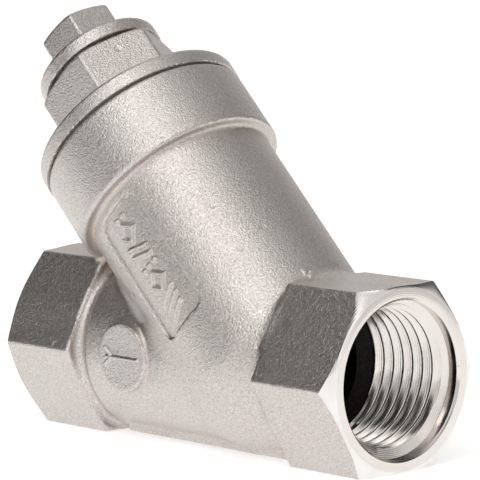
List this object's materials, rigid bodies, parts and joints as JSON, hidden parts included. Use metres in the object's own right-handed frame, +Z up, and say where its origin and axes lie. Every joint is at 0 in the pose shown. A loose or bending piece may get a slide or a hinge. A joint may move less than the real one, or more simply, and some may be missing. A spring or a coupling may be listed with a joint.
{
  "type": "y strainer",
  "caption": "Screwed Y strainer with a threaded inlet and outlet, a slanted branch with a screwed cover, a blow-off plug and a removable screen.",
  "frame": {"origin": "centre of the inlet end face", "axes": "+X points out of the inlet along the run, +Z up; the branch leans towards -X in the XZ plane"},
  "size_m": [0.0685, 0.0312, 0.0597],
  "materials": {
    "cast_steel": "bead-blasted investment casting with machined ends",
    "cover_steel": "bead-blasted casting",
    "plug_steel": "bead-blasted casting",
    "gasket_white": "white fluoropolymer",
    "screen_sheet_steel": "perforated stainless sheet",
    "screen_wire_steel": "fine woven stainless mesh",
    "ring_steel": "pressed stainless sheet"
  },
  "bodies": {
    "strainer_body": {"body": "cast_steel"},
    "cover_carriage": {"cover_gasket": "gasket_white", "screen_tube": "screen_sheet_steel", "screen_mesh": "screen_wire_steel", "screen_bottom_ring": "ring_steel", "screen_top_ring": "ring_steel"},
    "screwed_cover": {"cover": "cover_steel"},
    "plug_carriage": {"plug_gasket": "gasket_white"},
    "plug": {"blow_off_plug": "plug_steel"}
  },
  "joints": [
    {"name": "cover_lift", "type": "slide", "parent": "strainer_body", "child": "cover_carriage", "axis": [-0.7071, 0, 0.7071], "range_m": [0, 0.0105]},
    {"name": "cover_turn", "type": "hinge", "parent": "cover_carriage", "child": "screwed_cover", "pos_m": [-0.0212, 0, 0], "axis": [-0.7071, 0, 0.7071], "range_deg": [0, 2520]},
    {"name": "plug_lift", "type": "slide", "parent": "screwed_cover", "child": "plug_carriage", "axis": [-0.7071, 0, 0.7071], "range_m": [0, 0.00936]},
    {"name": "plug_turn", "type": "hinge", "parent": "plug_carriage", "child": "plug", "pos_m": [-0.0212, 0, 0], "axis": [-0.7071, 0, 0.7071], "range_deg": [0, 2520]}
  ],
  "couplings": [
    {"joint": "cover_lift", "follows": "cover_turn", "m_per_rad": 0.00023873},
    {"joint": "plug_lift", "follows": "plug_turn", "m_per_rad": 0.00021279}
  ]
}
